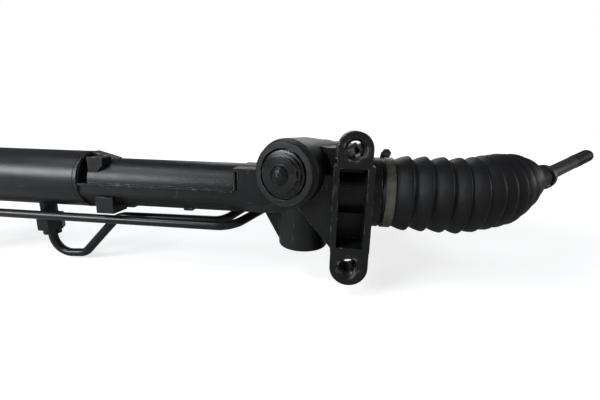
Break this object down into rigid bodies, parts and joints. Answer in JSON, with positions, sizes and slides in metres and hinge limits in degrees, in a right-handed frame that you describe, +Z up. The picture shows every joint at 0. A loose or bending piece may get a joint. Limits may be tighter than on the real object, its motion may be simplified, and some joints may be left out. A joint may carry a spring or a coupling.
{
  "type": "steering rack",
  "caption": "Hydraulic power rack-and-pinion steering gear with cylinder tube, rubber boots, pipes and inner tie rods.",
  "frame": {"origin": "midway between the bracket's two threaded holes, where their threads begin, 1.4 mm behind its machined face", "axes": "+X along the rack towards the pinion end's boot, -Y out of the bracket face, +Z up from the lower hole to the upper one"},
  "size_m": [1.0297, 0.1933, 0.1411],
  "materials": {
    "black_paint": "satin",
    "pipe_paint": "satin",
    "rod_paint": "satin",
    "black_rubber": "semi-matte",
    "clamp_band": "plain zinc",
    "dark_steel": "dark zinc",
    "bare_steel": "ground",
    "bronze": "machined",
    "seat_plastic": "moulded",
    "alloy": "machined"
  },
  "bodies": {
    "housing": {"pinion_housing": "black_paint", "cylinder_tube": "black_paint", "end_gland": "alloy", "inner_rack_seal": "black_rubber", "outer_rack_seal": "black_rubber", "rack_bushing": "bronze", "gland_bushing": "bronze", "gland_snap_ring": "bare_steel", "valve_housing": "black_paint", "valve_housing_bolts": "dark_steel", "lower_bearing_outer_race": "bare_steel", "lower_bearing_balls": "bare_steel", "upper_pinion_bush": "bronze", "lower_valve_seal": "black_rubber", "input_shaft_bearing": "bare_steel", "input_shaft_seal": "black_rubber", "pinion_end_cap": "black_paint", "yoke": "alloy", "yoke_pad": "seat_plastic", "yoke_spring": "bare_steel", "yoke_plug": "black_paint", "yoke_lock_nut": "black_paint", "mount_bush": "black_rubber", "mount_saddle": "black_paint", "port_bosses": "pipe_paint", "line_nuts": "pipe_paint", "short_line": "pipe_paint", "long_line": "pipe_paint", "boot_right": "black_rubber", "boot_left": "black_rubber", "boot_band_right": "clamp_band", "boot_band_left": "clamp_band", "band_screw_right": "dark_steel", "band_screw_left": "dark_steel"},
    "rack": {"rack_bar": "bare_steel", "piston": "bare_steel", "piston_ring": "seat_plastic", "ball_socket_right": "bare_steel", "ball_socket_left": "bare_steel", "lock_washers": "bare_steel"},
    "pinion": {"pinion_shaft": "bare_steel", "pinion_nut": "bare_steel", "lower_bearing_inner_race": "bare_steel", "valve_sleeve": "bare_steel", "sleeve_rings": "seat_plastic"},
    "input": {"input_shaft": "bare_steel", "torsion_bar": "bare_steel", "input_cross_pin": "bare_steel"},
    "seat_right": {"ball_seat_right": "seat_plastic"},
    "seat_left": {"ball_seat_left": "seat_plastic"},
    "rod_right": {"tie_rod_right": "rod_paint", "boot_clip_right": "dark_steel"},
    "rod_left": {"tie_rod_left": "rod_paint", "boot_clip_left": "dark_steel"}
  },
  "joints": [
    {"name": "rack_slide", "type": "slide", "parent": "housing", "child": "rack", "axis": [1, 0, 0], "range_m": [-0.066, 0.066], "deforming": ["boot_right", "boot_left"]},
    {"name": "pinion_spin", "type": "hinge", "parent": "housing", "child": "pinion", "pos_m": [-0.0405, 0.0346, 0.0265], "axis": [0.3355, 0.9421, 0], "range_deg": [-450, 450]},
    {"name": "input_twist", "type": "hinge", "parent": "pinion", "child": "input", "pos_m": [-0.0405, 0.0346, 0.0265], "axis": [0.3355, 0.9421, 0], "range_deg": [-5, 5], "stiffness_Nm_per_rad": 160},
    {"name": "seat_right_swing", "type": "hinge", "parent": "rack", "child": "seat_right", "pos_m": [0.1225, 0.0346, 0.009], "axis": [0, 0, 1], "range_deg": [-83, 3]},
    {"name": "rod_right_lift", "type": "hinge", "parent": "seat_right", "child": "rod_right", "pos_m": [0.1225, 0.0346, 0.009], "axis": [0.6428, -0.766, 0], "range_deg": [-28, 8]},
    {"name": "seat_left_swing", "type": "hinge", "parent": "rack", "child": "seat_left", "pos_m": [-0.5655, 0.0346, 0.009], "axis": [0, 0, 1], "range_deg": [-29, 57]},
    {"name": "rod_left_lift", "type": "hinge", "parent": "seat_left", "child": "rod_left", "pos_m": [-0.5655, 0.0346, 0.009], "axis": [0.2419, 0.9703, 0], "range_deg": [-14, 26]}
  ],
  "couplings": [
    {"joint": "pinion_spin", "follows": "rack_slide", "rad_per_m": -117.76}
  ]
}
